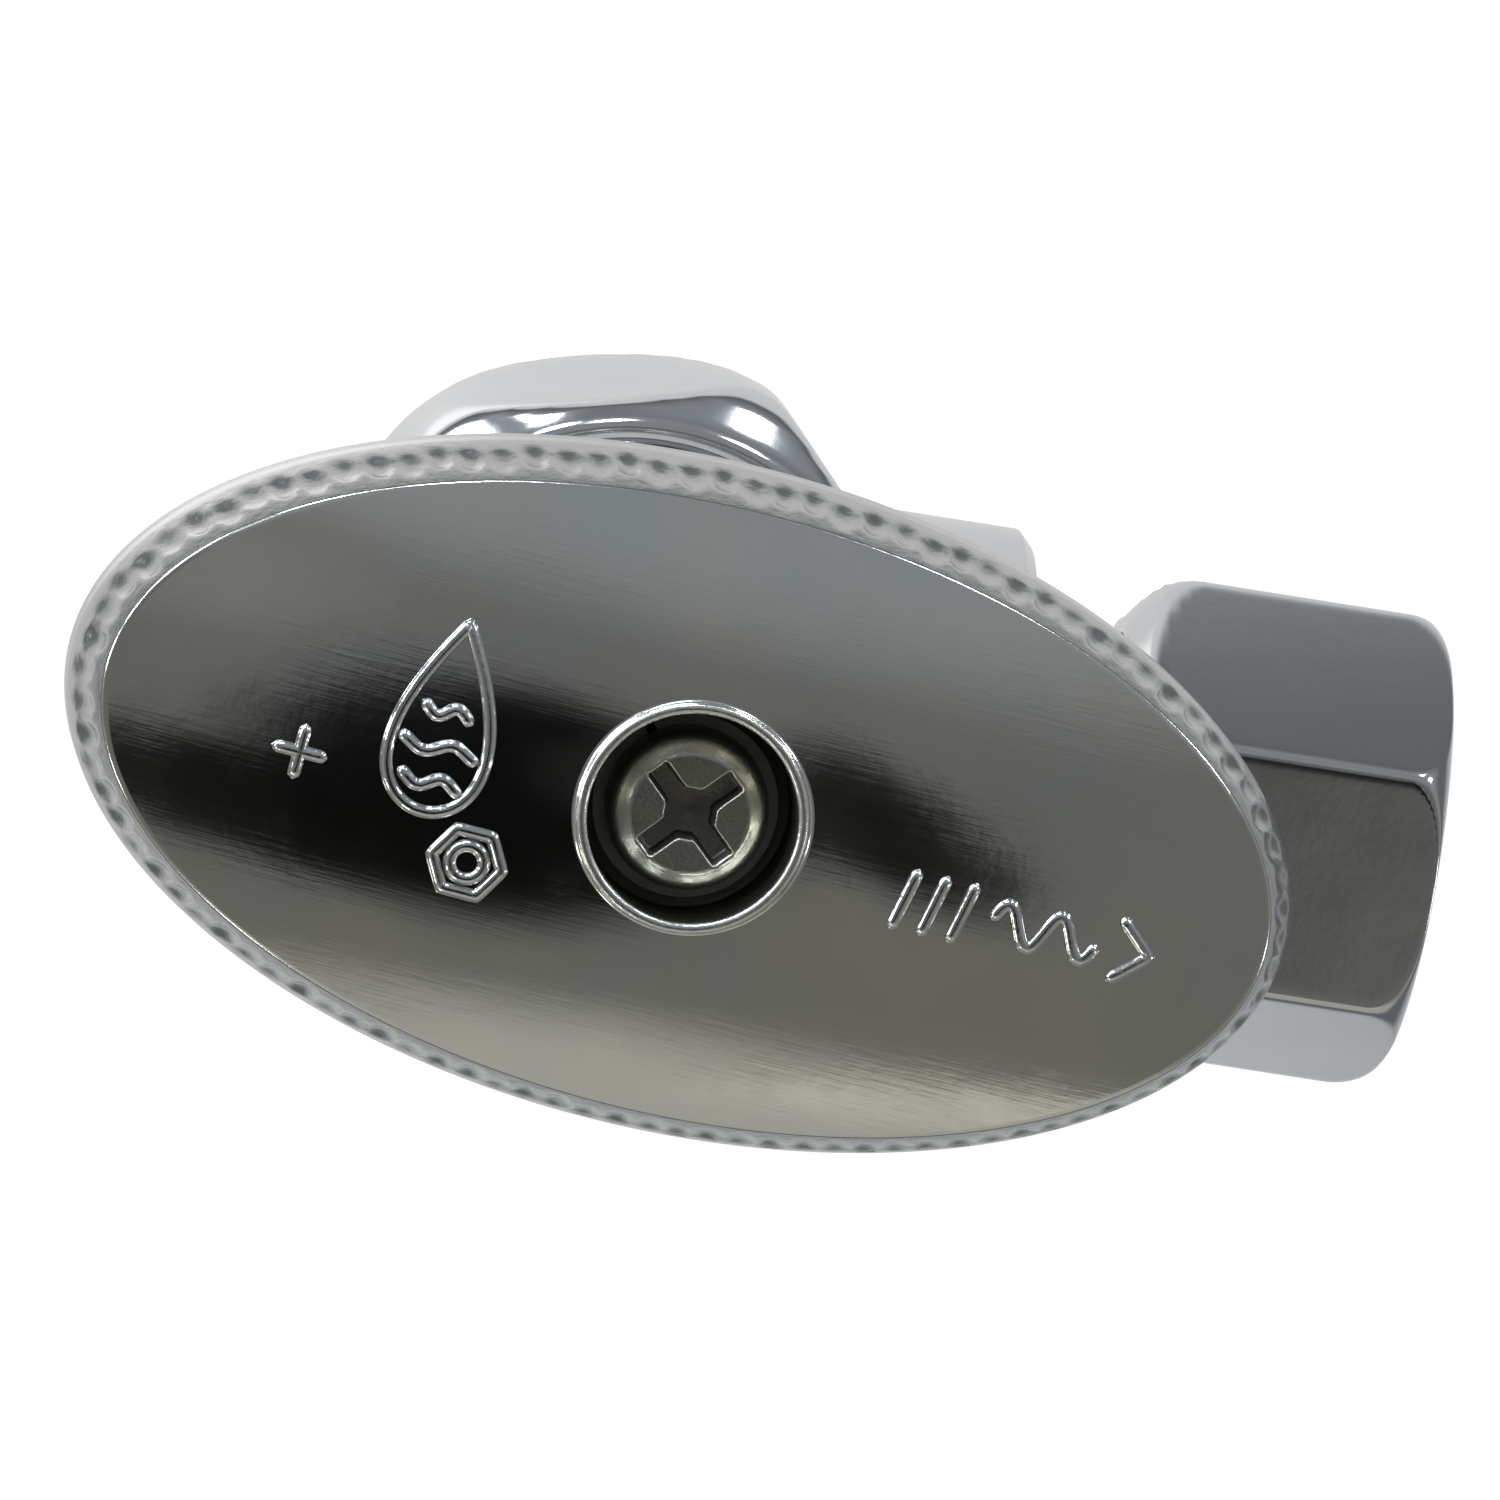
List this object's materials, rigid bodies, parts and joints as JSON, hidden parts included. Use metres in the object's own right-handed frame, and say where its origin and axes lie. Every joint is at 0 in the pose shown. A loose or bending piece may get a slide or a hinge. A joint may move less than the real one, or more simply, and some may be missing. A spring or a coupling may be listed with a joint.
{
  "type": "angle stop valve",
  "caption": "Quarter-turn angle stop valve with an oval lever handle, a compression inlet at the back and a compression outlet at the side.",
  "frame": {"origin": "centre of the inlet nut's rear face, where the wall tube enters; the valve stands on this face", "axes": "+Z along the inlet and stem axis towards the handle, +X along the outlet axis"},
  "size_m": [0.0573, 0.0274, 0.0507],
  "materials": {
    "chrome_plate": "polished chrome plate on brass",
    "handle_chrome": "polished chrome plate with faint brush lines",
    "ball_chrome": "polished hard chrome",
    "plain_brass": "turned brass",
    "screw_nickel": "nickel-plated steel",
    "seat_white": "smooth fluoropolymer",
    "ring_black": "moulded nitrile rubber"
  },
  "bodies": {
    "body": {"valve_body": "chrome_plate", "lower_ball_seat": "seat_white", "upper_ball_seat": "seat_white", "seat_retainer": "plain_brass", "retainer_o_ring": "ring_black", "stem_thrust_washer": "seat_white", "stem_packing": "seat_white", "packing_nut": "plain_brass"},
    "handle": {"handle": "handle_chrome", "handle_screw": "screw_nickel", "handle_lock_washer": "screw_nickel", "stem": "plain_brass", "stem_o_ring": "ring_black", "ball": "ball_chrome"},
    "inlet_ferrule": {"inlet_ferrule": "plain_brass"},
    "inlet_nut": {"inlet_nut": "chrome_plate"},
    "outlet_ferrule": {"outlet_ferrule": "plain_brass"},
    "outlet_nut": {"outlet_nut": "chrome_plate"}
  },
  "joints": [
    {"name": "handle_turn", "type": "hinge", "parent": "body", "child": "handle", "pos_m": [0, 0, 0.03], "axis": [0, 0, 1], "range_deg": [-84.7, 5.3]},
    {"name": "inlet_ferrule_slide", "type": "slide", "parent": "body", "child": "inlet_ferrule", "axis": [0, 0, -1], "range_m": [0, 0.00564]},
    {"name": "inlet_nut_turn", "type": "hinge", "parent": "inlet_ferrule", "child": "inlet_nut", "pos_m": [0, 0, 0], "axis": [0, 0, -1], "range_deg": [0, 1440]},
    {"name": "outlet_ferrule_slide", "type": "slide", "parent": "body", "child": "outlet_ferrule", "axis": [1, 0, 0], "range_m": [0, 0.00529]},
    {"name": "outlet_nut_turn", "type": "hinge", "parent": "outlet_ferrule", "child": "outlet_nut", "pos_m": [0.032, 0, 0.03], "axis": [1, 0, 0], "range_deg": [0, 1800]}
  ],
  "couplings": [
    {"joint": "inlet_ferrule_slide", "follows": "inlet_nut_turn", "m_per_rad": 0.00022459},
    {"joint": "outlet_ferrule_slide", "follows": "outlet_nut_turn", "m_per_rad": 0.00016844}
  ]
}
